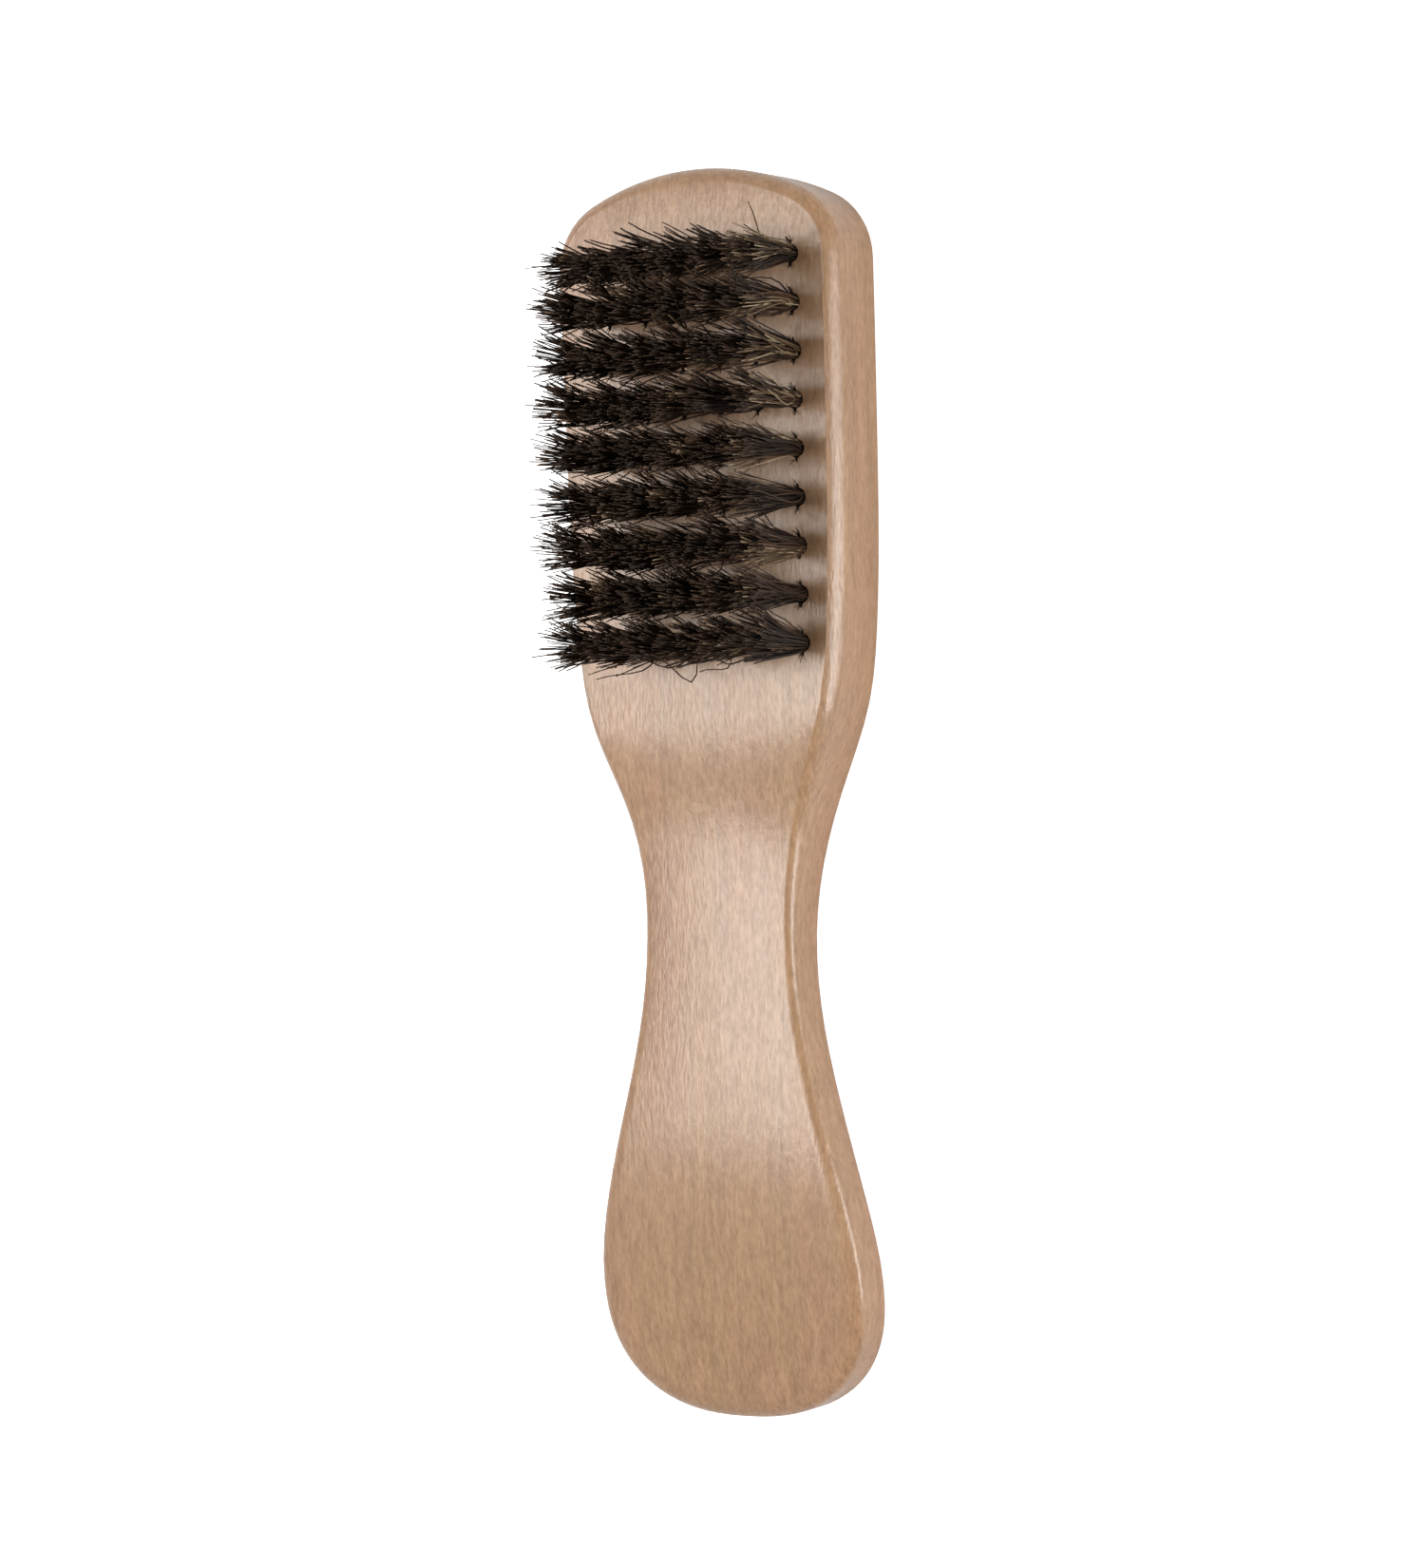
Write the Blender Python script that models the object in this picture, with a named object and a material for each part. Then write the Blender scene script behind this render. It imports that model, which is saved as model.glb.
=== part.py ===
"""Beard brush: a one-piece beech handle with 54 tufts of bristle, each held by a flat-wire anchor.

Metres, +Z up. The brush lies on the flat back of its head, on the plane Z = 0, bristles pointing up.
+Y runs along the brush towards the head, and X crosses it. The origin is at mid-length, on X = 0.
"""

import math

import bmesh
import bpy
import numpy as np
from mathutils import Vector

# Outline of the handle, seen from above
LENGTH = 0.175
HEAD_HALF_WIDTH = 0.0227
HEAD_ARCH_RADIUS = 0.0388
HEAD_CORNER_RADIUS = 0.0104
# (y, half width) from below the head's corner to the widest point of the handle's end
SIDE_STATIONS = (
    (0.0480, 0.0225),
    (0.0220, 0.0215),
    (0.0120, 0.0199),
    (0.0000, 0.0154),
    (-0.0100, 0.0127),
    (-0.0208, 0.0120),
    (-0.0330, 0.0134),
    (-0.0470, 0.0168),
    (-0.0577, 0.0195),
    (-0.0686, 0.0210),
)
END_SQUARENESS = 2.4  # exponent of the superellipse that closes the handle's end

# Profile of the handle, seen from the side: (y, z) of the front and of the back
HEAD_THICKNESS = 0.0129
FRONT_STATIONS = (
    (0.0110, HEAD_THICKNESS),
    (0.0065, 0.0126),
    (0.0020, 0.01195),
    (-0.0025, 0.0113),
    (-0.0070, 0.01105),
    (-0.0200, 0.01135),
    (-0.0380, 0.01225),
    (-0.0540, 0.0126),
    (-0.0710, 0.0112),
    (-0.0875, 0.0086),
)
BACK_STATIONS = (
    (0.0080, 0.0),
    (-0.0040, 0.0006),
    (-0.0200, 0.0027),
    (-0.0380, 0.0040),
    (-0.0540, 0.0042),
    (-0.0710, 0.0027),
    (-0.0875, 0.0003),
)
# Easing of the front edge: (y, width across the face, drop down the side, flatness).
# Flatness 0 is a quarter of an ellipse, and 1 is a straight bevel.
FRONT_EDGE_STATIONS = (
    (-0.0680, 0.0034, 0.0018, 0.0),
    (-0.0450, 0.0022, 0.0016, 0.0),
    (-0.0200, 0.0014, 0.0013, 0.2),
    (0.0200, 0.0018, 0.0024, 0.7),
    (0.0620, 0.0019, 0.0024, 0.7),
    (0.0850, 0.0020, 0.0022, 0.4),
)
BACK_EDGE_RADIUS = 0.0018
# The grip's front is slightly crowned from side to side, and the head's is flat
CROWN_HEIGHT = 0.0005
CROWN_START_Y = 0.0110
CROWN_FULL_Y = -0.0070
CROWN_END_FADE = 0.0160  # length at the grip's end over which the crown runs out
CROWN_STEPS = 8
EDGE_STEPS = 6
ARCH_STEPS = 9
CORNER_STEPS = 8
SIDE_STEPS = 44
END_STEPS = 20

# Tuft field
ROWS = 9
COLUMNS = 6
ROW_PITCH = 0.00669
COLUMN_PITCH = 0.00585
FIELD_CENTRE_X = 0.0013
FIRST_ROW_Y = 0.02085  # centre of the row nearest the grip
HOLE_RADIUS = 0.0013
HOLE_DEPTH = 0.0065
HOLE_ARC_STEPS = 5
SLIT_HALF_LENGTH = 0.0019
SLIT_WIDTH = 0.0006
SLIT_TIP_WIDTH = 0.0002
CUTTER_RISE = 0.001  # how far the hole cutter stands above the face

# One tuft, with its anchor
BRISTLE_HEIGHT = 0.0170  # above the face
ROOT_RADIUS = 0.0010
ROOT_DEPTH = 0.0060
TIP_HALF_X = 0.0026
TIP_HALF_Y = 0.0028
TUFT_SIDES = 10
SPREAD_HEIGHTS = (0.0, 0.25, 0.6, 1.0)  # shares of the bristle height that get a ring
SPREAD_EXPONENT = 0.8
ANCHOR_LENGTH = 0.0034
ANCHOR_THICKNESS = 0.00025
ANCHOR_HEIGHT = 0.0016
ANCHOR_LIFT = 0.0002  # gap between the anchor and the foot of the bristle

BEECH_COLOUR = (0.56, 0.37, 0.24, 1.0)
BEECH_ROUGHNESS = 0.35
BRISTLE_COLOUR = (0.030, 0.019, 0.014, 1.0)
BRISTLE_ROUGHNESS = 0.55
HANDLE_SHARP_ANGLE = math.radians(35)
TUFT_SHARP_ANGLE = math.radians(50)


def clear_scene():
    for obj in list(bpy.data.objects):
        bpy.data.objects.remove(obj, do_unlink=True)


def principled(name, colour, roughness, metallic=0.0):
    material = bpy.data.materials.new(name)
    material.use_nodes = True
    shader = material.node_tree.nodes["Principled BSDF"]
    shader.inputs["Base Color"].default_value = colour
    shader.inputs["Roughness"].default_value = roughness
    shader.inputs["Metallic"].default_value = metallic
    material.diffuse_color = colour
    return material


def add_object(name, mesh, material=None):
    obj = bpy.data.objects.new(name, mesh)
    bpy.context.scene.collection.objects.link(obj)
    if material:
        mesh.materials.append(material)
    return obj


def mesh_of(name, bm):
    mesh = bpy.data.meshes.new(name)
    bmesh.ops.recalc_face_normals(bm, faces=bm.faces)
    bm.to_mesh(mesh)
    bm.free()
    return mesh


def spline(stations, start_slope=0.0, end_slope=None):
    """A cubic spline through (position, value) stations. An end slope of None lets that end run straight."""
    at, value = np.array(sorted(stations)).T
    gap = np.diff(at)
    rise = np.diff(value) / gap
    count = len(at)
    system = np.zeros((count, count))
    wanted = np.zeros(count)
    for i in range(1, count - 1):
        system[i, i - 1 : i + 2] = gap[i], 2 * (gap[i - 1] + gap[i]), gap[i - 1]
        wanted[i] = 3 * (gap[i] * rise[i - 1] + gap[i - 1] * rise[i])
    # Stations run from the handle's end to the head, so the last sorted one is where the curve starts.
    system[-1, -1], wanted[-1] = 1.0, start_slope
    if end_slope is None:
        system[0, :2], wanted[0] = (2.0, 1.0), 3 * rise[0]
    else:
        system[0, 0], wanted[0] = 1.0, end_slope
    slope = np.linalg.solve(system, wanted)

    def value_at(y):
        y = min(max(y, at[0]), at[-1])
        i = min(int(np.searchsorted(at, y, side="right")) - 1, count - 2)
        i = max(i, 0)
        t = (y - at[i]) / gap[i]
        from_left = value[i] + gap[i] * t * slope[i]
        bend = 3 * rise[i] - 2 * slope[i] - slope[i + 1]
        twist = slope[i] + slope[i + 1] - 2 * rise[i]
        return float(from_left + gap[i] * (bend * t**2 + twist * t**3))

    return value_at


def right_outline():
    """The outline's right half, from the middle of the head's top to the middle of the grip's end."""
    top = LENGTH / 2
    arch_centre = top - HEAD_ARCH_RADIUS
    corner_x = HEAD_HALF_WIDTH - HEAD_CORNER_RADIUS
    corner_y = arch_centre + math.sqrt((HEAD_ARCH_RADIUS - HEAD_CORNER_RADIUS) ** 2 - corner_x**2)
    join = math.atan2(corner_x, corner_y - arch_centre)
    points = []
    for angle in np.linspace(0, join, ARCH_STEPS + 1):
        across = HEAD_ARCH_RADIUS * math.sin(angle)
        along = HEAD_ARCH_RADIUS * math.cos(angle)
        points.append((across, arch_centre + along))
    for angle in np.linspace(join, math.pi / 2, CORNER_STEPS + 1)[1:]:
        across = HEAD_CORNER_RADIUS * math.sin(angle)
        along = HEAD_CORNER_RADIUS * math.cos(angle)
        points.append((corner_x + across, corner_y + along))
    widest_y, widest = SIDE_STATIONS[-1]
    half_width = spline(((corner_y, HEAD_HALF_WIDTH),) + SIDE_STATIONS, 0.0, 0.0)
    for y in np.linspace(corner_y, widest_y, SIDE_STEPS + 1)[1:]:
        points.append((half_width(y), y))
    power = 2 / END_SQUARENESS
    end_height = widest_y + top
    for angle in np.linspace(0, math.pi / 2, END_STEPS + 1)[1:]:
        across = max(math.cos(angle), 0.0) ** power
        along = math.sin(angle) ** power
        points.append((widest * across, widest_y - end_height * along))
    points[-1] = (0.0, -top)
    return points


def inward_normals(points):
    """Unit vectors across the right half-outline, pointing into the wood. Its two ends lie on X = 0."""
    normals = []
    for i, _ in enumerate(points):
        before = points[max(i - 1, 0)]
        after = points[min(i + 1, len(points) - 1)]
        along = Vector((after[0] - before[0], after[1] - before[1])).normalized()
        normals.append(Vector((along.y, -along.x)))
    normals[0] = Vector((0.0, -1.0))
    normals[-1] = Vector((0.0, 1.0))
    return normals


def front_edge(y, turn):
    """(inset, drop) of a point on the front edge: turn 0 is on the side, a quarter turn is on the face."""
    at, width, drop, flatness = np.array(FRONT_EDGE_STATIONS).T
    width, drop, flatness = (float(np.interp(y, at, values)) for values in (width, drop, flatness))
    straight = turn / (math.pi / 2)
    inset = (1 - flatness) * (1 - math.cos(turn)) + flatness * straight
    fallen = (1 - flatness) * (1 - math.sin(turn)) + flatness * (1 - straight)
    return width * inset, drop * fallen


def smooth_step(value, start, end):
    share = min(max((value - start) / (end - start), 0.0), 1.0)
    return share * share * (3 - 2 * share)


def crown_height(y):
    """How far the middle of the front stands above its two rims."""
    rising = smooth_step(y, CROWN_START_Y, CROWN_FULL_Y)
    ending = smooth_step(y, -LENGTH / 2, -LENGTH / 2 + CROWN_END_FADE)
    return CROWN_HEIGHT * rising * ending


def handle_rings():
    """Half-rings of points from the rim of the front face, round the side, to the rim of the back face."""
    outline = right_outline()
    normals = inward_normals(outline)
    front = spline(FRONT_STATIONS)
    back = spline(BACK_STATIONS)
    turns = np.linspace(math.pi / 2, 0, EDGE_STEPS + 1)
    rings = []
    for turn in turns:
        ring = []
        for (x, y), normal in zip(outline, normals):
            inset, drop = front_edge(y, turn)
            px, py = x + normal.x * inset, y + normal.y * inset
            ring.append(Vector((px, py, front(py) - drop)))
        rings.append(ring)
    for turn in reversed(turns):
        ring = []
        for (x, y), normal in zip(outline, normals):
            inset = BACK_EDGE_RADIUS * (1 - math.cos(turn))
            px, py = x + normal.x * inset, y + normal.y * inset
            ring.append(Vector((px, py, back(py) + BACK_EDGE_RADIUS * (1 - math.sin(turn)))))
        rings.append(ring)
    return rings


def row_across(bm, right, left, crowned):
    """Vertices from a rim point to the one facing it, with more between them where the face is crowned."""
    if right is left:
        return [right]
    crown = crown_height(right.co.y) if crowned else 0.0
    if crown == 0.0:
        return [right, left]
    row = [right]
    for share in np.linspace(1, -1, CROWN_STEPS + 1)[1:-1]:
        bulge = crown * (1 - share**2)
        row.append(bm.verts.new((right.co.x * share, right.co.y, right.co.z + bulge)))
    return [*row, left]


def close_across(bm, right, left, crowned=False):
    """Fills a face with strips that cross the brush, each between two neighbouring rows."""
    rows = [row_across(bm, *pair, crowned) for pair in zip(right, left)]
    for row, following in zip(rows, rows[1:]):
        if len(row) != len(following) or len(row) < 3:
            bm.faces.new((*row, *reversed(following)))
            continue
        for i in range(len(row) - 1):
            bm.faces.new((row[i], row[i + 1], following[i + 1], following[i]))


def handle_blank():
    """The handle before drilling, as one closed shell that is symmetric about its centre plane."""
    bm = bmesh.new()
    sides = []
    for half_ring in handle_rings():
        right = [bm.verts.new(point) for point in half_ring]
        middle = [bm.verts.new(Vector((-p.x, p.y, p.z))) for p in half_ring[1:-1]]
        left = [right[0], *middle, right[-1]]
        sides.append((right, left))
    for (right, left), (next_right, next_left) in zip(sides, sides[1:]):
        for near, far in ((right, next_right), (left, next_left)):
            for i in range(len(near) - 1):
                bm.faces.new((near[i], near[i + 1], far[i + 1], far[i]))
    close_across(bm, *sides[0], crowned=True)
    close_across(bm, *sides[-1])
    return mesh_of("handle", bm)


def hole_outline():
    """A round hole with a pointed slit through its middle, along the brush, that the anchor's ends cut."""
    half_slit = SLIT_WIDTH / 2
    half_tip = SLIT_TIP_WIDTH / 2
    arc_reach = math.pi / 2 - math.asin(half_slit / HOLE_RADIUS)
    points = []
    for side in (1, -1):
        for turn in np.linspace(-arc_reach, arc_reach, HOLE_ARC_STEPS + 1):
            points.append((side * HOLE_RADIUS * math.cos(turn), side * HOLE_RADIUS * math.sin(turn)))
        points.append((side * half_tip, side * SLIT_HALF_LENGTH))
        points.append((-side * half_tip, side * SLIT_HALF_LENGTH))
    return points


def hole_places():
    """(row, column, x, y) of each tuft. Row 1 is at the head's tip, and column 1 is on the -X side."""
    for row in range(ROWS):
        for column in range(COLUMNS):
            x = FIELD_CENTRE_X + (column - (COLUMNS - 1) / 2) * COLUMN_PITCH
            y = FIRST_ROW_Y + (ROWS - 1 - row) * ROW_PITCH
            yield row + 1, column + 1, x, y


def hole_cutter():
    bm = bmesh.new()
    top = HEAD_THICKNESS + CUTTER_RISE
    for _, _, x, y in hole_places():
        rim = [bm.verts.new((x + px, y + py, top)) for px, py in hole_outline()]
        face = bm.faces.new(rim)
        extruded = bmesh.ops.extrude_face_region(bm, geom=[face])
        moved = [item for item in extruded["geom"] if isinstance(item, bmesh.types.BMVert)]
        bmesh.ops.translate(bm, verts=moved, vec=(0, 0, -HOLE_DEPTH - CUTTER_RISE))
    cutter = add_object("cutter_tuft_holes", mesh_of("cutter_tuft_holes", bm))
    cutter.hide_render = True
    cutter.display_type = "WIRE"
    return cutter


def add_handle(material):
    handle = add_object("handle", handle_blank(), material)
    drill = handle.modifiers.new("tuft holes", "BOOLEAN")
    drill.operation = "DIFFERENCE"
    drill.object = hole_cutter()
    handle.data.shade_smooth()
    handle.data.set_sharp_from_angle(angle=HANDLE_SHARP_ANGLE)
    return handle


def tuft_ring(bm, half_x, half_y, z):
    ring = []
    for i in range(TUFT_SIDES):
        angle = 2 * math.pi * (i + 0.5) / TUFT_SIDES
        ring.append(bm.verts.new((half_x * math.cos(angle), half_y * math.sin(angle), z)))
    return ring


def bristle_shell():
    """The space that one tuft fills: a round root in its hole, spreading above the face to a broad tip."""
    bm = bmesh.new()
    rings = [tuft_ring(bm, ROOT_RADIUS, ROOT_RADIUS, -ROOT_DEPTH)]
    for share in SPREAD_HEIGHTS:
        spread = share**SPREAD_EXPONENT
        half_x = ROOT_RADIUS + (TIP_HALF_X - ROOT_RADIUS) * spread
        half_y = ROOT_RADIUS + (TIP_HALF_Y - ROOT_RADIUS) * spread
        rings.append(tuft_ring(bm, half_x, half_y, share * BRISTLE_HEIGHT))
    for lower, upper in zip(rings, rings[1:]):
        for i in range(TUFT_SIDES):
            j = (i + 1) % TUFT_SIDES
            bm.faces.new((lower[i], lower[j], upper[j], upper[i]))
    bm.faces.new(rings[0])
    bm.faces.new(rings[-1])
    return mesh_of("bristle_shell", bm)


def anchor_bar():
    """The flat-wire anchor across the folded root, whose two ends bite into the slit."""
    bm = bmesh.new()
    bmesh.ops.create_cube(bm, size=1.0)
    size = (ANCHOR_THICKNESS, ANCHOR_LENGTH, ANCHOR_HEIGHT)
    bmesh.ops.scale(bm, verts=bm.verts, vec=size)
    lift = -ROOT_DEPTH + ANCHOR_HEIGHT / 2 + ANCHOR_LIFT
    bmesh.ops.translate(bm, verts=bm.verts, vec=(0, 0, lift))
    return mesh_of("anchor_bar", bm)


def tuft_mesh(material):
    """Bristle and anchor joined into one solid, as every tuft's object shares it."""
    shell = add_object("tuft_pattern", bristle_shell())
    anchor = add_object("anchor_pattern", anchor_bar())
    join = shell.modifiers.new("anchor", "BOOLEAN")
    join.operation = "UNION"
    join.object = anchor
    graph = bpy.context.evaluated_depsgraph_get()
    mesh = bpy.data.meshes.new_from_object(shell.evaluated_get(graph))
    mesh.name = "tuft"
    mesh.materials.clear()
    mesh.materials.append(material)
    mesh.shade_smooth()
    mesh.set_sharp_from_angle(angle=TUFT_SHARP_ANGLE)
    bpy.data.objects.remove(shell, do_unlink=True)
    bpy.data.objects.remove(anchor, do_unlink=True)
    return mesh


def add_tufts(material, handle):
    mesh = tuft_mesh(material)
    for row, column, x, y in hole_places():
        tuft = bpy.data.objects.new(f"tuft_row{row}_col{column}", mesh)
        bpy.context.scene.collection.objects.link(tuft)
        tuft.parent = handle
        tuft.location = (x, y, HEAD_THICKNESS)


def build():
    clear_scene()
    beech = principled("beech", BEECH_COLOUR, BEECH_ROUGHNESS)
    bristle = principled("bristle", BRISTLE_COLOUR, BRISTLE_ROUGHNESS)
    handle = add_handle(beech)
    add_tufts(bristle, handle)


build()
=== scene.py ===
"""Looks of the beard brush: lacquered beech, tufts of mixed boar bristle and their wire anchors.

The frame's axes: +Y runs along the brush towards the head, +X crosses it, and the bristles point up,
along +Z. Everything is in metres, except the sizes of the materials' patterns, which are in millimetres.
"""

import math

import bpy
import numpy as np
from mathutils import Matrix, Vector


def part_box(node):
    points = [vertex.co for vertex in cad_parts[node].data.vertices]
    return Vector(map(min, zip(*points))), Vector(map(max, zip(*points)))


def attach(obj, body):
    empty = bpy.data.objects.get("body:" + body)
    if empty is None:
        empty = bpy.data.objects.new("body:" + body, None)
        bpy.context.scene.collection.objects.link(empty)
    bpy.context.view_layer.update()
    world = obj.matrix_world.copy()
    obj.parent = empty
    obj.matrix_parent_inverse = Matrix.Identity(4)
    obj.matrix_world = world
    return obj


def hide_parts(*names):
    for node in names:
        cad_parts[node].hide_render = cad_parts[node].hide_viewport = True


MM = 0.001
SEED = 54
GOLDEN_ANGLE = math.pi * (3 - math.sqrt(5))

# Tuft field, as the record's nodes name it: row 1 is at the head's tip, column 1 is on the -X side
ROWS = 9
COLUMNS = 6
ROOT_DEPTH = 6.0 * MM  # from the head's face down to the foot of a CAD tuft
ROOT_LIFT = 0.2 * MM  # how far above that foot the anchor and the hairs start

# One tuft of bristle: how its hairs stand in the hole
HAIRS = 116
STRANDS = 12
ROOT_DISC = 1.12 * MM
TURN_SCATTER = 0.15  # radians
REACH_SCATTER = (0.93, 1.03)
BURIED_SHARE = 0.92  # the bundle's width at the anchor, as a share of its width at the face

# How they fan out, by their strands
STRAND_CLING = (0.52, 0.52, 0.72)  # at the first column, the last but one and the last
INNER_STRAND = 0.05  # share of the hole's area, round its middle, that holds no strand's centre
TIP_SPREAD_X = 3.0 * MM
TIP_SPREAD_Y = 3.6 * MM
TIP_SCATTER = 0.6 * MM
TUFT_LEAN = 0.4 * MM  # how differently whole tufts lean
FIRST_ROW_LEAN = -0.5 * MM  # how far its tips lean along Y
NEXT_ROW_LEAN = 0.25 * MM
LAST_ROW_LEAN = 0.8 * MM
FAN_EXPONENT = 1.32
STRAY_EXPONENT = 1.3
FAN_SCATTER = 0.20

# Their length and bend
LENGTH_SHARE = 0.935  # mean free length, as a share of the CAD tuft's
TUFT_LENGTH_SCATTER = 0.2 * MM
LENGTH_SCATTER = 0.45 * MM
LONGEST_EXTRA = 0.7 * MM
LEAST_RISE = 0.5  # of a hair's length, however far it leans
BEND = 0.30 * MM
STRAY_BEND = 3.2  # how many times more a stray hair bends
STRAND_BEND = 0.22 * MM
WAVE_SHARE = 0.35  # S-shaped bend, as a share of the single arch

# Hairs that stray out of the tuft
STRAY_SHARE = 0.15
EDGE_STRAY_SHARE = 0.10  # in the two rows at the ends of the field
STRAY_REACH = (0.6 * MM, 2.8 * MM)
STRAY_ASIDE = 0.6  # reach across the brush, as a share of the reach along it

# One hair
HAIR_SIDES = 4
HAIR_RADIUS = 0.112 * MM
RADIUS_SCATTER = (0.78, 1.18)
RING_SHARES = (0.0, 0.06, 0.2, 0.36, 0.52, 0.68, 0.84, 1.0)
TAPER_AT = (0.0, 0.6, 1.0)
TAPER = (1.0, 0.95, 0.8)

# A hair's colour is a place on the bristle's scale, from 0 for the darkest to 1 for the palest
STRAND_TINT = (0.0, 0.85)
PALE_TINT = 1.0
PALE_STRANDS_WITH_LIT_SIDE = (0.03, 0.07, 0.36)  # share of pale strands, at the same columns as the cling; the larger share at the +X columns is painted light, for the side of the field that the light falls on
TINT_SCATTER = 0.35  # how far a hair strays from its strand's colour
STUB_TINT = (0.0, 0.6)

# Short hairs that stand out at both ends of each slit
STUBS = 7
STUB_LENGTH = (0.7 * MM, 1.7 * MM)
STUB_OUT = (1.15 * MM, 1.6 * MM)  # how far from the tuft's middle they start
STUB_ASIDE = 0.12 * MM
STUB_LEAN_ASIDE = 0.35
STUB_LEAN_OUT = (0.1, 1.3)
STUB_BURIED = 0.4 * MM
STUB_RADIUS = 0.07 * MM

# Wire anchor across the foot of each tuft
ANCHOR_LENGTH = 3.4 * MM
ANCHOR_THICKNESS = 0.25 * MM
ANCHOR_HEIGHT = 1.6 * MM
ANCHOR_SHEAR = 0.25 * MM  # slant of its cut ends
ANCHOR_SADDLE = 0.3 * MM  # dip where the folded bristles sit
SADDLE_HALF_LENGTH = 0.9 * MM
SADDLE_POINTS = 7
PRESSED_EDGE = 0.04 * MM

# Ranges of a noise's values: a pattern gets crisper as its range narrows
SOFT = (0.3, 0.7)
CLEAR = (0.35, 0.65)
CRISP = (0.36, 0.64)

# Beech: sizes of its patterns along X, Y and Z, in millimetres
WANDER_SIZE = (14.0, 46.0, 14.0)
WANDER = 2.4  # how far a line of the grain strays sideways
BROAD_SIZE = (9.0, 90.0, 9.0)
BAND_SIZE = (2.6, 50.0, 2.6)
LAYER_SIZE = (0.95, 34.0, 0.95)
STREAK_SIZE = (0.8, 4.2, 0.8)
FIBRE_SIZE = (0.40, 1.5, 0.40)
LONG_RAY_SIZE = (1.5, 7.5, 1.0)
SHORT_RAY_SIZE = (0.8, 3.4, 1.0)

# Beech: strengths and colours
BAND_TONE = (0.95, 1.05)
LAYER_TONE = (0.925, 1.075)
STREAK_SHARE = 0.4  # of the grain's lines; the fibres make the rest
LONG_RAY_DEPTH = 0.45
SHORT_RAY_DEPTH = 0.25
RAY_FACING = (0.6, 0.95)  # the normal's part along Z, where rays begin to show and where they do fully
RAY_STRENGTH = 0.62
RAY_GROOVE = 0.25
DASH_EDGE = (0.06, 0.16)  # half width of a dash, and where it has faded out
FAINTEST_DASH = 0.3
TAN = (0.395, 0.229, 0.117, 1.0)
PINK = (0.410, 0.226, 0.123, 1.0)
RAY_BROWN = (0.20, 0.095, 0.042, 1.0)
LINE_TINT = (0.82, 0.78, 0.73, 1.0)
BETWEEN_TINT = (1.17, 1.20, 1.24, 1.0)

# Bristle
BRISTLE_SCALE = (
    (0.00, (0.0095, 0.0058, 0.0044)),
    (0.48, (0.0175, 0.0108, 0.0080)),
    (0.64, (0.042, 0.023, 0.014)),
    (0.80, (0.080, 0.045, 0.026)),
    (0.90, (0.19, 0.120, 0.064)),
    (1.00, (0.50, 0.39, 0.25)),
)
MOTTLE_SIZE = (0.5, 0.5, 1.6)
MOTTLE_TONE = (0.75, 1.25)
WORN_AND_LIT_TIP_FROM = 0.75  # share of the hair's length where its paler end starts: partly the bristle's own worn tip, partly painted highlight where the tips catch the light
WORN_AND_LIT_TIP_SHARE = 0.22
WORN_AND_LIT_TIP_BROWN = (0.16, 0.095, 0.055, 1.0)
ROOT_SHADE = 0.75  # tone at the root: painted shade, as in the crowd of its neighbours
ROOT_SHADE_TO = 0.3  # share of the length where it has gone

# Wire
DRAWN_LINE_SIZE = (0.4, 3.0, 0.05)
DULL_SIZE = (0.9, 0.9, 0.9)
DULL_WIRE = (0.42, 0.39, 0.33, 1.0)
BRIGHT_WIRE = (0.60, 0.57, 0.50, 1.0)

# Handle's shading
WELD_DISTANCE = 0.5e-6
SHARP_ANGLE = math.radians(34)

# Floor
FLOOR_HALF = 3.0
FLOOR_GAP = 0.05 * MM
FLOOR_GRAIN_SIZE = (3.0, 3.0, 3.0)
FLOOR_GREYS = ((0.3, (0.86, 0.86, 0.86)), (0.7, (0.90, 0.90, 0.90)))
FLOOR_GLOW = 0.9  # what the floor gives the camera beyond the light it returns

# Surroundings
SURROUND_LEFT = 0.60  # radiance on the -X side
SURROUND_RIGHT = 0.18
SURROUND_BLEND = 0.5  # the X of a direction, either way, where the change of side is complete

# Softboxes: a direction's Y part, width across the brush and length along it, radiance
LIGHT_DISTANCE = 0.75
KEY_TILT = math.radians(18)  # from straight above, towards -X
KEY_ALONG = 0.047
KEY_SIZE = (0.50, 0.27)
KEY_RADIANCE = 7.9
KEY_COLOUR = (1.0, 0.98, 0.96)
EDGE_LIFT = math.radians(13)  # from level on the +X side
EDGE_ALONG = -0.117
EDGE_SIZE = (0.30, 0.425)
EDGE_RADIANCE = 9.0

# Camera
CAMERA_TILT = math.radians(29.98)  # from straight above, towards +X
CAMERA_RISE = math.radians(0.81)
CAMERA_ROLL = math.radians(-1.79)
CAMERA_DISTANCE = 0.6313
CAMERA_TARGET = Vector((-2.46 * MM, 1.63 * MM, 6.9 * MM))
CAMERA_LENS = 102.97
CAMERA_SENSOR = 36.0
CAMERA_CLIP = (0.01, 20.0)


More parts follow.
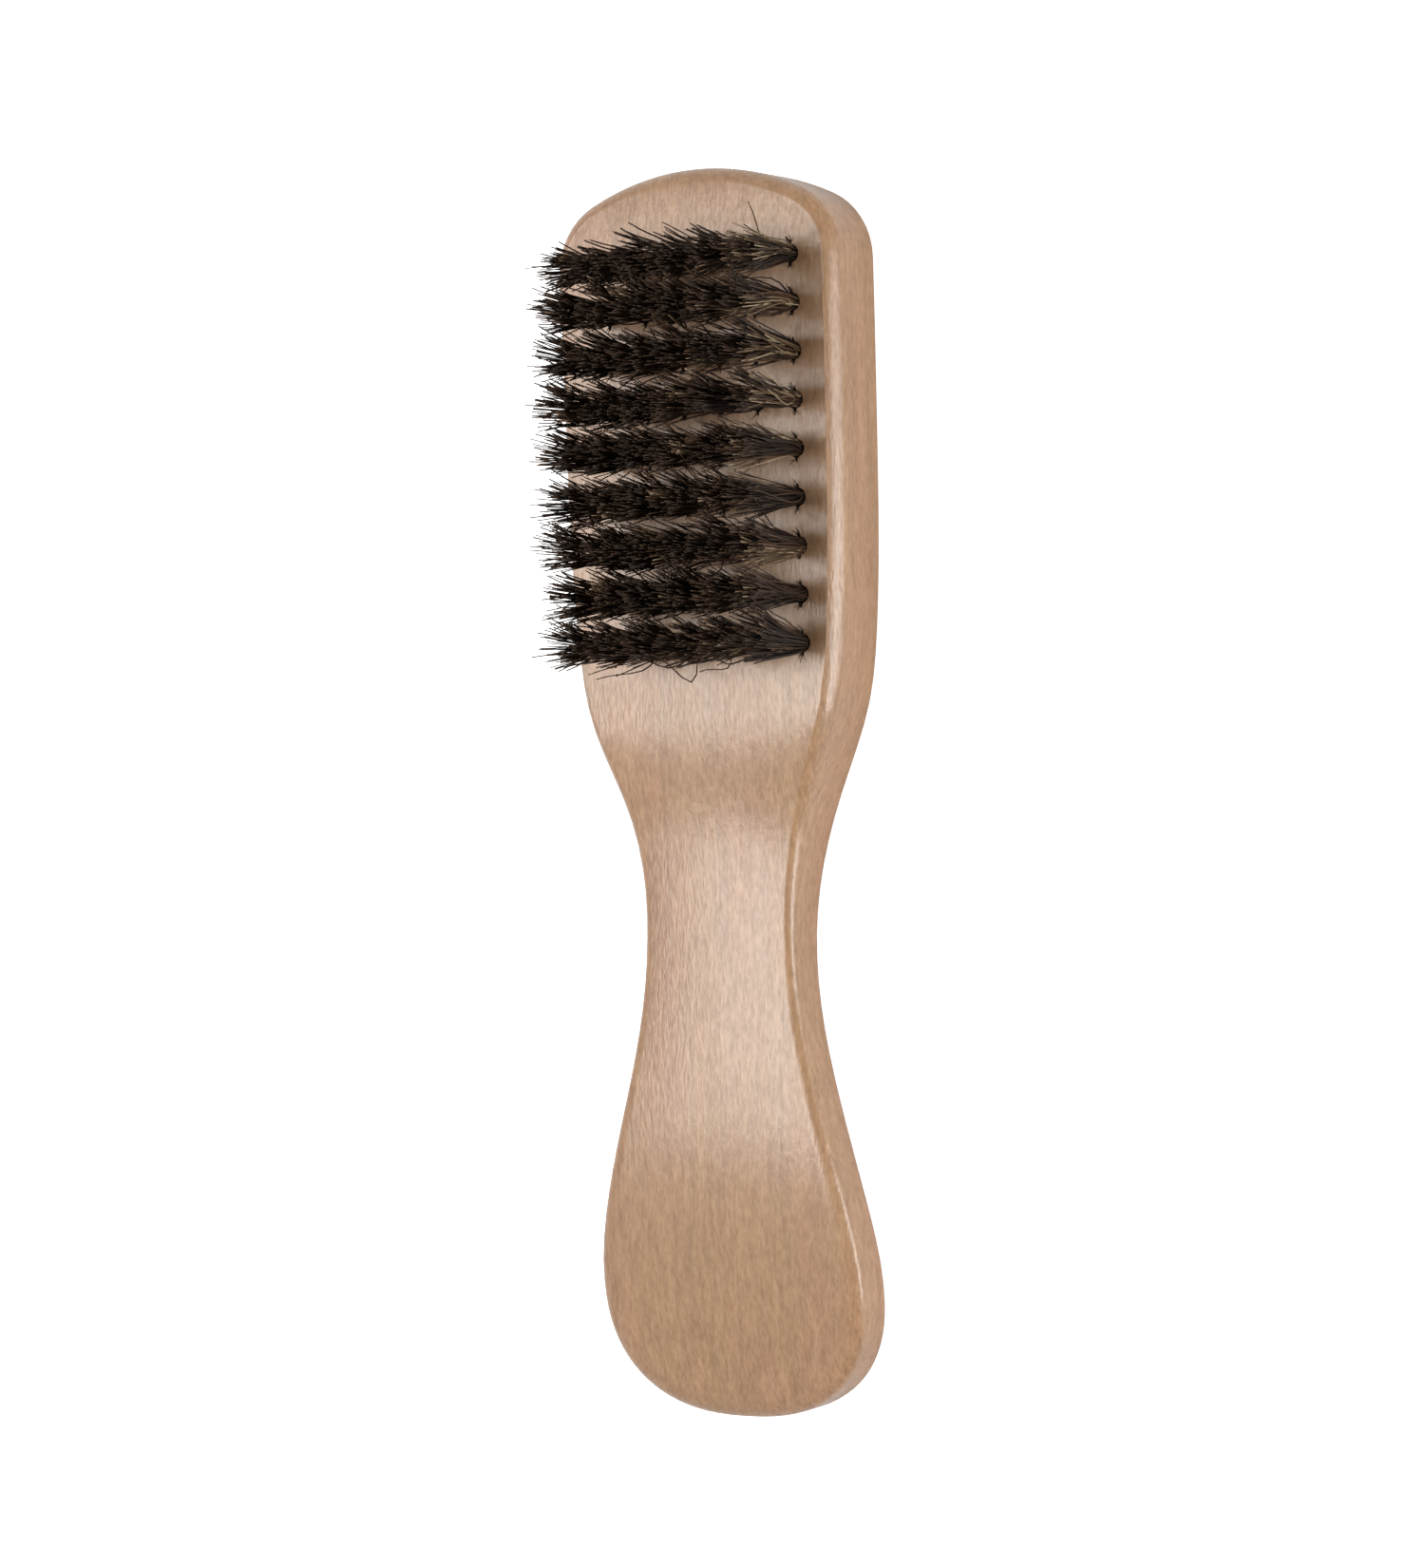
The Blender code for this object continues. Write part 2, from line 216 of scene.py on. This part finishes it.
class Graph:
    """A material's node tree, with short calls for the nodes that the materials here use."""

    def __init__(self, name):
        self.material = bpy.data.materials.new(name)
        self.material.use_nodes = True
        self.tree = self.material.node_tree
        self.shader = self.tree.nodes["Principled BSDF"]

    def node(self, kind, **settings):
        made = self.tree.nodes.new("ShaderNode" + kind)
        for key, value in settings.items():
            setattr(made, key, value)
        return made

    def join(self, value, socket):
        """Links an output to a socket, or sets the socket to a plain value."""
        if isinstance(value, bpy.types.NodeSocket):
            self.tree.links.new(value, socket)
        else:
            socket.default_value = value

    def set(self, **inputs):
        """Sets the shader's inputs; an underscore stands for a space in the input's name."""
        for key, value in inputs.items():
            self.join(value, self.shader.inputs[key.replace("_", " ")])

    def math(self, operation, a, b=0.0):
        made = self.node("Math", operation=operation)
        self.join(a, made.inputs[0])
        self.join(b, made.inputs[1])
        return made.outputs[0]

    def place(self):
        """The point in the row frame, in millimetres."""
        scaled = self.node("VectorMath", operation="SCALE")
        self.join(self.node("TexCoord").outputs["Object"], scaled.inputs[0])
        self.join(1 / MM, scaled.inputs["Scale"])
        return scaled.outputs[0]

    def stretched(self, point, size):
        """The point in units of a feature that is size millimetres along X, Y and Z."""
        made = self.node("VectorMath", operation="DIVIDE")
        self.join(point, made.inputs[0])
        self.join(size, made.inputs[1])
        return made.outputs[0]

    def noise(self, point, size, detail=2.0, roughness=0.5):
        made = self.node("TexNoise")
        self.join(self.stretched(point, size), made.inputs["Vector"])
        self.join(1.0, made.inputs["Scale"])
        self.join(detail, made.inputs["Detail"])
        self.join(roughness, made.inputs["Roughness"])
        return made.outputs["Fac"]

    def span(self, value, low, high, to_low=0.0, to_high=1.0):
        """The value taken from one range to another, and held at its ends."""
        made = self.node("MapRange")
        for socket, amount in zip(made.inputs, (value, low, high, to_low, to_high)):
            self.join(amount, socket)
        return made.outputs[0]

    def mix(self, share, a, b, blend="MIX"):
        """Colour a blended with colour b, whose sockets the node tells apart only by number."""
        made = self.node("Mix", data_type="RGBA", blend_type=blend)
        self.join(share, made.inputs["Factor"])
        self.join(a, made.inputs[6])
        self.join(b, made.inputs[7])
        return made.outputs[2]

    def scaled_colour(self, colour, factor):
        made = self.node("VectorMath", operation="SCALE")
        self.join(colour, made.inputs[0])
        self.join(factor, made.inputs["Scale"])
        return made.outputs[0]

    def dashes(self, point, size, depth):
        """Short dashes along Y, one to a cell of the given size, at most depth strong; many are faint."""
        cells = self.node("TexVoronoi", voronoi_dimensions="2D", feature="F1")
        self.join(self.stretched(point, size), cells.inputs["Vector"])
        self.join(1.0, cells.inputs["Scale"])
        chance = self.node("SeparateColor")
        self.join(cells.outputs["Color"], chance.inputs[0])
        line = self.span(cells.outputs["Distance"], *DASH_EDGE, depth, 0.0)
        return self.math("MULTIPLY", line, self.span(chance.outputs[0], FAINTEST_DASH, 1.0))

    def ramp(self, value, stops):
        made = self.node("ValToRGB")
        elements = made.color_ramp.elements
        while len(elements) < len(stops):
            elements.new(0.5)
        for element, (position, colour) in zip(elements, stops):
            element.position = position
            element.color = (*colour, 1.0)
        self.join(value, made.inputs["Fac"])
        return made.outputs["Color"]

    def bump(self, height, strength, distance):
        made = self.node("Bump")
        self.join(height, made.inputs["Height"])
        self.join(strength, made.inputs["Strength"])
        self.join(distance, made.inputs["Distance"])
        return made.outputs["Normal"]


def beech_material():
    """Beech with its grain along Y, under a satin clear lacquer."""
    g = Graph("lacquered_beech")
    point = g.place()

    # The grain lines wander a little from side to side.
    shift = g.node("CombineXYZ")
    wander = g.noise(point, WANDER_SIZE, detail=1.0)
    g.join(g.math("MULTIPLY", wander, WANDER), shift.inputs["X"])
    warped = g.node("VectorMath", operation="ADD")
    g.join(point, warped.inputs[0])
    g.join(shift.outputs[0], warped.inputs[1])
    grain = warped.outputs[0]

    broad = g.noise(grain, BROAD_SIZE)
    band = g.noise(grain, BAND_SIZE)
    layer = g.noise(grain, LAYER_SIZE, detail=1.0)
    streak = g.noise(grain, STREAK_SIZE, roughness=0.6)
    fibre = g.noise(grain, FIBRE_SIZE, roughness=0.6)

    tone = g.math("MULTIPLY", g.span(band, *SOFT, *BAND_TONE), g.span(layer, *SOFT, *LAYER_TONE))
    # The lines of the grain are darker and a little redder than the wood between them.
    streaks = g.math("MULTIPLY", g.span(streak, *CLEAR), STREAK_SHARE)
    fibres = g.math("MULTIPLY", g.span(fibre, *CRISP), 1.0 - STREAK_SHARE)
    lines = g.math("ADD", streaks, fibres)
    tint = g.mix(lines, LINE_TINT, BETWEEN_TINT)
    colour = g.mix(1.0, g.mix(g.span(broad, *CLEAR), TAN, PINK), tint, "MULTIPLY")

    # Medullary rays show as short dark dashes where the surface faces up or down.
    long_rays = g.dashes(grain, LONG_RAY_SIZE, LONG_RAY_DEPTH)
    short_rays = g.dashes(grain, SHORT_RAY_SIZE, SHORT_RAY_DEPTH)
    facing = g.node("SeparateXYZ")
    g.join(g.node("NewGeometry").outputs["Normal"], facing.inputs[0])
    level = g.span(g.math("ABSOLUTE", facing.outputs["Z"]), *RAY_FACING)
    rays = g.math("MULTIPLY", g.math("ADD", long_rays, short_rays), level)
    colour = g.mix(g.math("MULTIPLY", rays, RAY_STRENGTH), colour, RAY_BROWN)

    height = g.math("SUBTRACT", lines, g.math("MULTIPLY", rays, RAY_GROOVE))
    g.set(
        Base_Color=g.scaled_colour(colour, tone),
        Roughness=g.span(streak, *SOFT, 0.50, 0.58),
        Normal=g.bump(height, 0.35, 0.02 * MM),
        Coat_Weight=g.span(lines, 0.1, 0.8, 0.74, 1.0),
        Coat_Roughness=g.span(band, *SOFT, 0.19, 0.25),
        Coat_IOR=1.5,
        Coat_Normal=g.bump(height, 0.90, 0.025 * MM),
        Specular_IOR_Level=0.45,
    )
    return g.material


def bristle_material():
    """Boar bristle of mixed colours, by the mesh attributes hair_tint and hair_along, root 0 to tip 1."""
    g = Graph("boar_bristle")
    tint = g.node("Attribute", attribute_name="hair_tint").outputs["Fac"]
    along = g.node("Attribute", attribute_name="hair_along").outputs["Fac"]
    mottle = g.noise(g.place(), MOTTLE_SIZE)
    # The paler end is partly the bristle's worn tip and partly painted highlight.
    worn_and_lit_tip = g.span(along, WORN_AND_LIT_TIP_FROM, 1.0, 0.0, WORN_AND_LIT_TIP_SHARE)
    # Painted shade: the hair darkens towards its root, where its neighbours crowd it.
    shade = g.span(along, 0.0, ROOT_SHADE_TO, ROOT_SHADE, 1.0)
    tone = g.math("MULTIPLY", g.span(mottle, *SOFT, *MOTTLE_TONE), shade)
    g.set(
        Base_Color=g.scaled_colour(g.mix(worn_and_lit_tip, g.ramp(tint, BRISTLE_SCALE), WORN_AND_LIT_TIP_BROWN), tone),
        Roughness=g.span(mottle, *SOFT, 0.34, 0.48),
        Normal=g.bump(mottle, 0.15, 0.02 * MM),
        Specular_IOR_Level=0.3,
    )
    return g.material


def wire_material():
    """Drawn flat wire of nickel silver, dulled, with fine lines along it."""
    g = Graph("anchor_wire")
    point = g.place()
    lines = g.noise(point, DRAWN_LINE_SIZE, detail=3.0)
    dull = g.noise(point, DULL_SIZE)
    g.set(
        Base_Color=g.mix(g.span(dull, *CLEAR), DULL_WIRE, BRIGHT_WIRE),
        Metallic=1.0,
        Roughness=g.span(lines, *SOFT, 0.28, 0.46),
        Normal=g.bump(lines, 0.2, 0.01 * MM),
    )
    return g.material


def floor_material():
    """Pale matt board, lit a little from behind like a product table."""
    g = Graph("pale_floor")
    grain = g.noise(g.place(), FLOOR_GRAIN_SIZE, detail=3.0)
    seen = g.node("LightPath").outputs["Is Camera Ray"]
    g.set(
        Base_Color=g.ramp(grain, FLOOR_GREYS),
        Roughness=0.8,
        Emission_Color=(1.0, 1.0, 1.0, 1.0),
        Emission_Strength=g.span(seen, 0.0, 1.0, 0.0, FLOOR_GLOW),
    )
    return g.material


def weld_and_smooth_nodes():
    """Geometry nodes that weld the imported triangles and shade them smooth, apart from the sharp edges."""
    group = bpy.data.node_groups.new("weld_and_smooth", "GeometryNodeTree")
    group.interface.new_socket("Geometry", in_out="INPUT", socket_type="NodeSocketGeometry")
    group.interface.new_socket("Geometry", in_out="OUTPUT", socket_type="NodeSocketGeometry")
    nodes, links = group.nodes, group.links
    start = nodes.new("NodeGroupInput")
    strip = nodes.new("GeometryNodeRemoveAttribute")
    strip.inputs["Name"].default_value = "custom_normal"
    weld = nodes.new("GeometryNodeMergeByDistance")
    weld.inputs["Distance"].default_value = WELD_DISTANCE
    faces = nodes.new("GeometryNodeSetShadeSmooth")
    faces.domain = "FACE"
    edges = nodes.new("GeometryNodeSetShadeSmooth")
    edges.domain = "EDGE"
    angle = nodes.new("GeometryNodeInputMeshEdgeAngle")
    soft = nodes.new("FunctionNodeCompare")
    soft.data_type = "FLOAT"
    soft.operation = "LESS_THAN"
    soft.inputs["B"].default_value = SHARP_ANGLE
    end = nodes.new("NodeGroupOutput")
    links.new(start.outputs[0], strip.inputs["Geometry"])
    links.new(strip.outputs[0], weld.inputs["Geometry"])
    links.new(weld.outputs[0], faces.inputs["Geometry"])
    links.new(faces.outputs[0], edges.inputs["Geometry"])
    links.new(angle.outputs["Unsigned Angle"], soft.inputs["A"])
    links.new(soft.outputs["Result"], edges.inputs["Shade Smooth"])
    links.new(edges.outputs[0], end.inputs[0])
    return group


def finish_handle(handle, material):
    """The CAD handle keeps its shape; it gets smooth shading and its wood."""
    handle.data.materials[0] = material
    weld = handle.modifiers.new("weld_and_smooth", "NODES")
    weld.node_group = weld_and_smooth_nodes()
    level = handle.modifiers.new("weighted_normals", "WEIGHTED_NORMAL")
    level.mode = "FACE_AREA"
    level.keep_sharp = True


def link_piece(name, mesh, material):
    piece = bpy.data.objects.new(name, mesh)
    bpy.context.scene.collection.objects.link(piece)
    mesh.materials.append(material)
    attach(piece, "root")
    return piece


def unit(vectors):
    return vectors / np.linalg.norm(vectors, axis=-1, keepdims=True)


def on_disc(turn, reach):
    """Points on the unit disc, (count, 2), at these angles and distances from its middle."""
    return np.stack([np.cos(turn), np.sin(turn)], axis=1) * reach[:, None]


def hair_paths(rng, root, face_z, depth, free_length, row, column):
    """(paths, strands): points along each hair from foot to tip, (hairs, rings, 3), and its strand."""
    # The hairs fill the hole evenly, as seeds fill a sunflower, with a little disorder.
    order = np.arange(HAIRS) + 0.5
    turn = order * GOLDEN_ANGLE + rng.uniform(0, 2 * math.pi) + rng.normal(0, TURN_SCATTER, HAIRS)
    disc = on_disc(turn, np.sqrt(order / HAIRS) * rng.uniform(*REACH_SCATTER, HAIRS))
    foot = disc * ROOT_DISC
    # Neighbouring hairs cling together in strands, which lean and bend as one.
    strand_turn = rng.uniform(0, 2 * math.pi, STRANDS)
    strands = on_disc(strand_turn, np.sqrt(rng.uniform(INNER_STRAND, 1, STRANDS)))
    nearest = np.linalg.norm(disc[:, None] - strands[None], axis=2).argmin(axis=1)
    cling = np.interp(column, (1, COLUMNS - 1, COLUMNS), STRAND_CLING)
    fanned = disc + (strands[nearest] - disc) * cling
    tip = fanned * (TIP_SPREAD_X, TIP_SPREAD_Y) + rng.normal(0, TIP_SCATTER, (HAIRS, 2))
    row_lean = np.interp(row, (1, 2, ROWS), (FIRST_ROW_LEAN, NEXT_ROW_LEAN, LAST_ROW_LEAN))
    tip = tip + (0.0, row_lean)
    tip = tip + rng.normal(0, TUFT_LEAN, 2)

    # Some hairs stray well out of the tuft, and fewer of them in the two rows at the ends of the field.
    stray_share = EDGE_STRAY_SHARE if row in (1, ROWS) else STRAY_SHARE
    stray = rng.uniform(0, 1, HAIRS) < stray_share
    stray_turn = rng.uniform(0, 2 * math.pi, HAIRS)
    away = on_disc(stray_turn, rng.uniform(*STRAY_REACH, HAIRS)) * (STRAY_ASIDE, 1.0)
    tip = np.where(stray[:, None], tip + away, tip)

    length = free_length * LENGTH_SHARE + rng.normal(0, TUFT_LENGTH_SCATTER)
    length = length + rng.normal(0, LENGTH_SCATTER, HAIRS)
    length = np.clip(length, 0.0, free_length + LONGEST_EXTRA)
    sideways = np.linalg.norm(tip - foot, axis=1)
    rise = np.sqrt(np.maximum(length**2 - sideways**2, (LEAST_RISE * length) ** 2))

    # Each hair fans out slowly at first, and bends once one way and a little in an S.
    share = np.array(RING_SHARES)
    exponent = np.where(stray, STRAY_EXPONENT, FAN_EXPONENT) + rng.normal(0, FAN_SCATTER, HAIRS)
    fan = share[None, :] ** exponent[:, None]
    bend_turn = rng.uniform(0, 2 * math.pi, HAIRS)
    bend = on_disc(bend_turn, rng.normal(0, BEND, HAIRS) * np.where(stray, STRAY_BEND, 1.0))
    bend = bend + rng.normal(0, STRAND_BEND, (STRANDS, 2))[nearest]
    swing = np.sin(math.pi * share) + np.sin(2 * math.pi * share) * WAVE_SHARE

    across = foot[:, None] + (tip - foot)[:, None] * fan[..., None]
    across = across + bend[:, None] * swing[None, :, None]
    up = face_z + rise[:, None] * share[None, :]
    free = np.concatenate([across + root[None, None, :2], up[..., None]], axis=2)
    bottom = np.full((HAIRS, 1), face_z - depth)
    buried = np.concatenate([foot * BURIED_SHARE + root[None, :2], bottom], axis=1)
    return np.concatenate([buried[:, None], free], axis=1), nearest


def stub_paths(rng, root, face_z):
    """Points along the short hairs at the two ends of one slit, (stubs, rings, 3), straight and splayed."""
    end = np.where(np.arange(STUBS) % 2 == 0, 1.0, -1.0)
    foot = np.stack([rng.normal(0, STUB_ASIDE, STUBS), end * rng.uniform(*STUB_OUT, STUBS)], axis=1)
    aside = rng.normal(0, STUB_LEAN_ASIDE, STUBS)
    ahead = unit(np.stack([aside, end * rng.uniform(*STUB_LEAN_OUT, STUBS), np.ones(STUBS)], axis=1))
    length = rng.uniform(*STUB_LENGTH, STUBS)
    start = np.concatenate([foot + root[None, :2], np.full((STUBS, 1), face_z)], axis=1)
    share = np.array(RING_SHARES)
    free = start[:, None] + ahead[:, None] * (length[:, None] * share[None, :])[..., None]
    return np.concatenate([start[:, None] - ahead[:, None] * STUB_BURIED, free], axis=1)


def hair_tubes(paths, radius):
    """(points, faces) of a closed, tapered tube along each path."""
    count, rings, _ = paths.shape
    along = unit(np.gradient(paths, axis=1))
    side = unit(np.cross(along, np.array((0.0, 1.0, 0.0))))
    other = np.cross(along, side)
    turns = 2 * math.pi * (np.arange(HAIR_SIDES) + 0.5) / HAIR_SIDES
    ring = side[:, :, None] * np.cos(turns)[:, None] + other[:, :, None] * np.sin(turns)[:, None]
    points = paths[:, :, None] + ring * radius[:, :, None, None]

    corner = np.arange(HAIR_SIDES)
    lower = np.arange(rings - 1)[:, None] * HAIR_SIDES + corner
    beside = np.arange(rings - 1)[:, None] * HAIR_SIDES + (corner + 1) % HAIR_SIDES
    walls = np.stack([lower, beside, beside + HAIR_SIDES, lower + HAIR_SIDES], axis=-1)
    last = (rings - 1) * HAIR_SIDES
    caps = np.stack([corner[::-1], corner + last])
    one = np.concatenate([walls.reshape(-1, 4), caps])
    offsets = np.arange(count)[:, None, None] * rings * HAIR_SIDES
    return points.reshape(-1, 3), (one[None] + offsets).reshape(-1, 4)


def tuft_mesh(name, rng, root, face_z, depth, free_length, row, column):
    """The hairs and stubs of one tuft as one mesh, with each point's tint and its share of the way up."""
    paths, strand = hair_paths(rng, root, face_z, depth, free_length, row, column)
    paths = np.concatenate([paths, stub_paths(rng, root, face_z)])
    shares = np.array((0.0, *RING_SHARES))
    radius = HAIR_RADIUS * rng.uniform(*RADIUS_SCATTER, HAIRS)
    radius = np.concatenate([radius, np.full(STUBS, STUB_RADIUS)])
    points, faces = hair_tubes(paths, radius[:, None] * np.interp(shares, TAPER_AT, TAPER)[None, :])
    mesh = bpy.data.meshes.new(name)
    mesh.from_pydata(points.tolist(), [], faces.tolist())

    # Hairs of one strand are alike in colour. The +X columns hold more of the pale strands as painted
    # light, standing in for light falling on that side.
    strand_tint = rng.uniform(*STRAND_TINT, STRANDS)
    pale_and_lit_side_share = np.interp(column, (1, COLUMNS - 1, COLUMNS), PALE_STRANDS_WITH_LIT_SIDE)
    pale = rng.uniform(0, 1, STRANDS) < pale_and_lit_side_share
    strand_tint = np.where(pale, PALE_TINT, strand_tint)[strand]
    tint = strand_tint + (rng.uniform(0, 1, HAIRS) - strand_tint) * TINT_SCATTER
    tint = np.concatenate([tint, rng.uniform(*STUB_TINT, STUBS)])
    tint = np.repeat(tint, len(shares) * HAIR_SIDES)
    along = np.tile(np.repeat(shares, HAIR_SIDES), HAIRS + STUBS)
    for key, values in (("hair_tint", tint), ("hair_along", along)):
        attribute = mesh.attributes.new(key, "FLOAT", "POINT")
        attribute.data.foreach_set("value", values.astype(np.float32))
    mesh.shade_smooth()
    return mesh


def anchor_mesh(name, centre):
    """A cut of flat wire on edge: slanted ends, and a dip in its lower edge where the bristles fold."""
    half_length = ANCHOR_LENGTH / 2
    half_height = ANCHOR_HEIGHT / 2
    upper = [(-half_length + ANCHOR_SHEAR, half_height), (half_length, half_height)]
    lower = [(half_length - ANCHOR_SHEAR, -half_height)]
    for turn in np.linspace(0, math.pi, SADDLE_POINTS):
        dip = ANCHOR_SADDLE * math.sin(turn)
        lower.append((SADDLE_HALF_LENGTH * math.cos(turn), -half_height + dip))
    lower.append((-half_length, -half_height))
    outline = upper + lower
    count = len(outline)
    points = []
    for side in (-ANCHOR_THICKNESS / 2, ANCHOR_THICKNESS / 2):
        points += [(centre.x + side, centre.y + along, centre.z + up) for along, up in outline]
    faces = [tuple(range(count)), tuple(range(2 * count - 1, count - 1, -1))]
    for i in range(count):
        j = (i + 1) % count
        faces.append((j, i, i + count, j + count))
    mesh = bpy.data.meshes.new(name)
    mesh.from_pydata(points, [], faces)
    return mesh


def add_tufts(bristle, wire, face_z):
    """One piece of bristle and one anchor for each CAD tuft, at that tuft's place."""
    rng = np.random.default_rng(SEED)
    for row in range(1, ROWS + 1):
        for column in range(1, COLUMNS + 1):
            node = f"tuft_row{row}_col{column}"
            low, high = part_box(node)
            root = np.array((low + high) / 2)
            depth = face_z - low.z - ROOT_LIFT
            name = f"bristles_row{row}_col{column}"
            mesh = tuft_mesh(name, rng, root, face_z, depth, high.z - face_z, row, column)
            piece = link_piece(name, mesh, bristle)
            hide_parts(node)
            middle = Vector((root[0], root[1], low.z + ROOT_LIFT + ANCHOR_HEIGHT / 2))
            name = f"anchor_row{row}_col{column}"
            anchor = link_piece(name, anchor_mesh(name, middle), wire)
            edge = anchor.modifiers.new("pressed_edges", "BEVEL")
            edge.width = PRESSED_EDGE
            edge.segments = 2
            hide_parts(node)


def add_floor():
    half = FLOOR_HALF
    mesh = bpy.data.meshes.new("floor")
    corners = [(-half, -half, 0), (half, -half, 0), (half, half, 0), (-half, half, 0)]
    mesh.from_pydata(corners, [], [(0, 1, 2, 3)])
    mesh.materials.append(floor_material())
    floor = bpy.data.objects.new("floor", mesh)
    floor.location.z = -FLOOR_GAP
    bpy.context.scene.collection.objects.link(floor)


def add_softbox(name, direction, size, radiance, colour=(1.0, 1.0, 1.0)):
    """A rectangular light that faces the brush; size is its width across X and its length along Y."""
    width, length = size
    light = bpy.data.lights.new(name, "AREA")
    light.shape = "RECTANGLE"
    light.size = width
    light.size_y = length
    light.energy = radiance * math.pi * width * length
    light.color = colour
    lamp = bpy.data.objects.new(name, light)
    towards = Vector(direction).normalized()
    across = Vector((0.0, 1.0, 0.0)).cross(towards).normalized()
    turned = lamp.matrix_world.to_3x3()
    turned.col[0], turned.col[1], turned.col[2] = across, towards.cross(across), towards
    lamp.matrix_world = turned.to_4x4()
    lamp.location = CAMERA_TARGET + towards * LIGHT_DISTANCE
    bpy.context.scene.collection.objects.link(lamp)


def add_lights():
    """A key softbox over the brush's -X side, and one low on its +X side for the front edge to catch."""
    key_direction = (-math.sin(KEY_TILT), KEY_ALONG, math.cos(KEY_TILT))
    add_softbox("key_softbox", key_direction, KEY_SIZE, KEY_RADIANCE, KEY_COLOUR)
    edge_direction = (math.cos(EDGE_LIFT), EDGE_ALONG, math.sin(EDGE_LIFT))
    add_softbox("edge_softbox", edge_direction, EDGE_SIZE, EDGE_RADIANCE)


def set_world():
    """White surroundings, brighter on the -X side. The camera sees them brighter than the brush does."""
    world = bpy.data.worlds.new("white_studio")
    world.use_nodes = True
    bpy.context.scene.world = world
    tree = world.node_tree
    background = tree.nodes["Background"]
    where = tree.nodes.new("ShaderNodeTexCoord")
    split = tree.nodes.new("ShaderNodeSeparateXYZ")
    side = tree.nodes.new("ShaderNodeMapRange")
    side.interpolation_type = "SMOOTHSTEP"
    side.inputs["From Min"].default_value = -SURROUND_BLEND
    side.inputs["From Max"].default_value = SURROUND_BLEND
    side.inputs["To Min"].default_value = SURROUND_LEFT
    side.inputs["To Max"].default_value = SURROUND_RIGHT
    path = tree.nodes.new("ShaderNodeLightPath")
    strength = tree.nodes.new("ShaderNodeMapRange")
    strength.inputs["To Max"].default_value = 1.0
    tree.links.new(where.outputs["Generated"], split.inputs[0])
    tree.links.new(split.outputs["X"], side.inputs["Value"])
    tree.links.new(side.outputs[0], strength.inputs["To Min"])
    tree.links.new(path.outputs["Is Camera Ray"], strength.inputs["Value"])
    tree.links.new(strength.outputs[0], background.inputs["Strength"])
    background.inputs["Color"].default_value = (1.0, 1.0, 1.0, 1.0)


def add_camera():
    data = bpy.data.cameras.new("camera")
    data.lens = CAMERA_LENS
    data.sensor_width = CAMERA_SENSOR
    data.clip_start, data.clip_end = CAMERA_CLIP
    camera = bpy.data.objects.new("camera", data)
    tilt, rise, roll = CAMERA_TILT, CAMERA_RISE, CAMERA_ROLL
    back = Vector((math.sin(tilt) * math.cos(rise), math.sin(rise), math.cos(tilt) * math.cos(rise)))
    level_right = Vector((math.cos(tilt), 0.0, -math.sin(tilt)))
    level_up = back.cross(level_right)
    right = level_right * math.cos(roll) + level_up * math.sin(roll)
    up = level_up * math.cos(roll) - level_right * math.sin(roll)
    matrix = camera.matrix_world.to_3x3()
    matrix.col[0], matrix.col[1], matrix.col[2] = right, up, back
    camera.matrix_world = matrix.to_4x4()
    camera.location = CAMERA_TARGET + back * CAMERA_DISTANCE
    bpy.context.scene.collection.objects.link(camera)
    bpy.context.scene.camera = camera


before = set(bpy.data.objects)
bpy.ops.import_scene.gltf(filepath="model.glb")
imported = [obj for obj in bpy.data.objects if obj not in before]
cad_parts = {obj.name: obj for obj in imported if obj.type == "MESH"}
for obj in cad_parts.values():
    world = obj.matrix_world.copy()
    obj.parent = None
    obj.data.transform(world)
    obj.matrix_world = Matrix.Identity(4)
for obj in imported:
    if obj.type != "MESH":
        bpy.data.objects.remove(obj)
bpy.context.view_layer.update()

face_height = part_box("tuft_row1_col1")[0].z + ROOT_DEPTH
finish_handle(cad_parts["handle"], beech_material())
add_tufts(bristle_material(), wire_material(), face_height)
add_floor()
add_lights()
set_world()
add_camera()
bpy.context.scene.view_settings.view_transform = "Standard"
